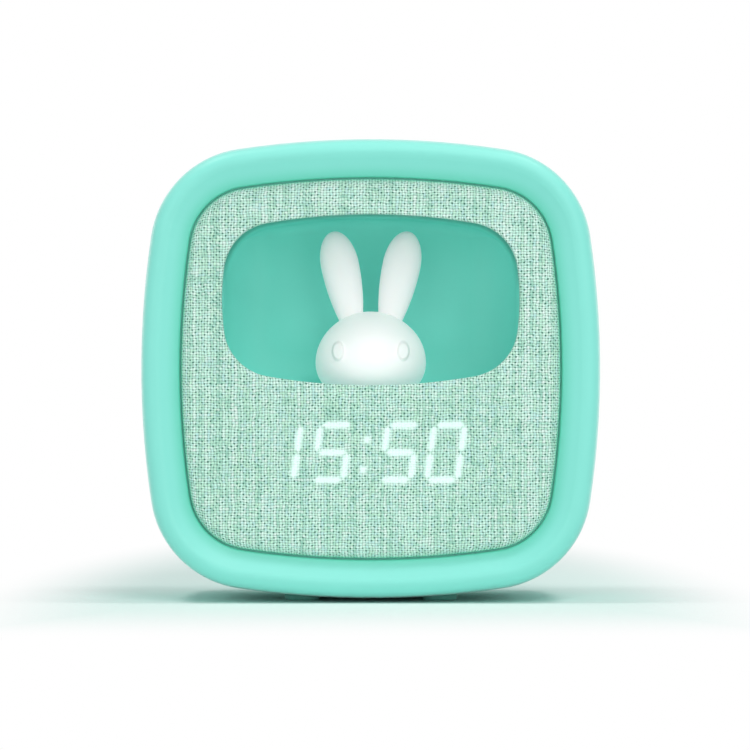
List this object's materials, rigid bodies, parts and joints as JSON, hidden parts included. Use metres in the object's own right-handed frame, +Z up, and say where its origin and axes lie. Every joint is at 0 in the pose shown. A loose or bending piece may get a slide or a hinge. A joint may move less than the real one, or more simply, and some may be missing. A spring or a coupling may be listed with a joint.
{
  "type": "alarm clock",
  "caption": "Soft-square table alarm clock with a woven front, a seven-segment display shining through it and a glowing rabbit in a coved niche.",
  "frame": {"origin": "on the table, under the middle of the clock", "axes": "+X to the clock's right as seen from the front, -Y to the front, +Z up"},
  "size_m": [0.12, 0.056, 0.1205],
  "materials": {
    "mint_shell": "satin moulded ABS",
    "fabric": "plain woven mint melange",
    "panel": "moulded ABS, hidden",
    "mask": "black moulded",
    "lens": "milky light diffuser",
    "rabbit": "milky soft-touch, translucent",
    "steel": "zinc plated screw",
    "circuit_board": "green solder mask",
    "chip": "black moulded package",
    "led": "LED package",
    "connector": "nylon connector",
    "socket_steel": "plated shell",
    "key": "silicone key",
    "foot": "silicone bar",
    "foam": "closed-cell foam",
    "cell_wrap": "pouch foil",
    "speaker_metal": "pressed steel",
    "speaker_paper": "pulp cone",
    "wire": "insulated wire",
    "ribbon": "flat flexible cable"
  },
  "bodies": {
    "root": {"battery_cell": "cell_wrap", "battery_lead": "wire", "battery_pad": "foam", "board_chips": "chip", "board_connectors": "connector", "board_screws": "steel", "display_board": "circuit_board", "display_connector": "connector", "display_leds": "led", "display_lenses": "lens", "display_mask": "mask", "display_ribbon": "ribbon", "display_screws": "steel", "fabric_cover": "fabric", "foot_left": "foot", "foot_right": "foot", "front_housing": "mint_shell", "front_panel": "panel", "key_switches": "chip", "lamp_board": "circuit_board", "lamp_connector": "connector", "lamp_lead": "wire", "lamp_leds": "led", "lamp_screws": "steel", "main_board": "circuit_board", "niche_screws": "steel", "niche_shell": "mint_shell", "panel_screws": "steel", "rabbit_ear_left": "rabbit", "rabbit_ear_right": "rabbit", "rabbit_head": "rabbit", "rabbit_nut": "panel", "rear_cover": "mint_shell", "rear_screws": "steel", "slide_switch": "chip", "speaker_cone": "speaker_paper", "speaker_frame": "speaker_metal", "speaker_gasket": "foam", "speaker_lead": "wire", "speaker_magnet": "socket_steel", "speaker_screws": "steel", "usb_socket": "socket_steel", "usb_tongue": "chip"},
    "light_key": {"light_key": "key"},
    "minus_key": {"minus_key": "key"},
    "set_key": {"set_key": "key"},
    "plus_key": {"plus_key": "key"},
    "alarm_key": {"alarm_key": "key"},
    "alarm_switch": {"alarm_switch_knob": "key"}
  },
  "joints": [
    {"name": "light_key_press", "type": "slide", "parent": "root", "child": "light_key", "axis": [0, -1, 0], "range_m": [0, 0.0005], "stiffness_N_per_m": 1200},
    {"name": "minus_key_press", "type": "slide", "parent": "root", "child": "minus_key", "axis": [0, -1, 0], "range_m": [0, 0.0005], "stiffness_N_per_m": 1200},
    {"name": "set_key_press", "type": "slide", "parent": "root", "child": "set_key", "axis": [0, -1, 0], "range_m": [0, 0.0005], "stiffness_N_per_m": 1200},
    {"name": "plus_key_press", "type": "slide", "parent": "root", "child": "plus_key", "axis": [0, -1, 0], "range_m": [0, 0.0005], "stiffness_N_per_m": 1200},
    {"name": "alarm_key_press", "type": "slide", "parent": "root", "child": "alarm_key", "axis": [0, -1, 0], "range_m": [0, 0.0005], "stiffness_N_per_m": 1200},
    {"name": "alarm_switch_slide", "type": "slide", "parent": "root", "child": "alarm_switch", "axis": [1, 0, 0], "range_m": [0, 0.003]}
  ]
}
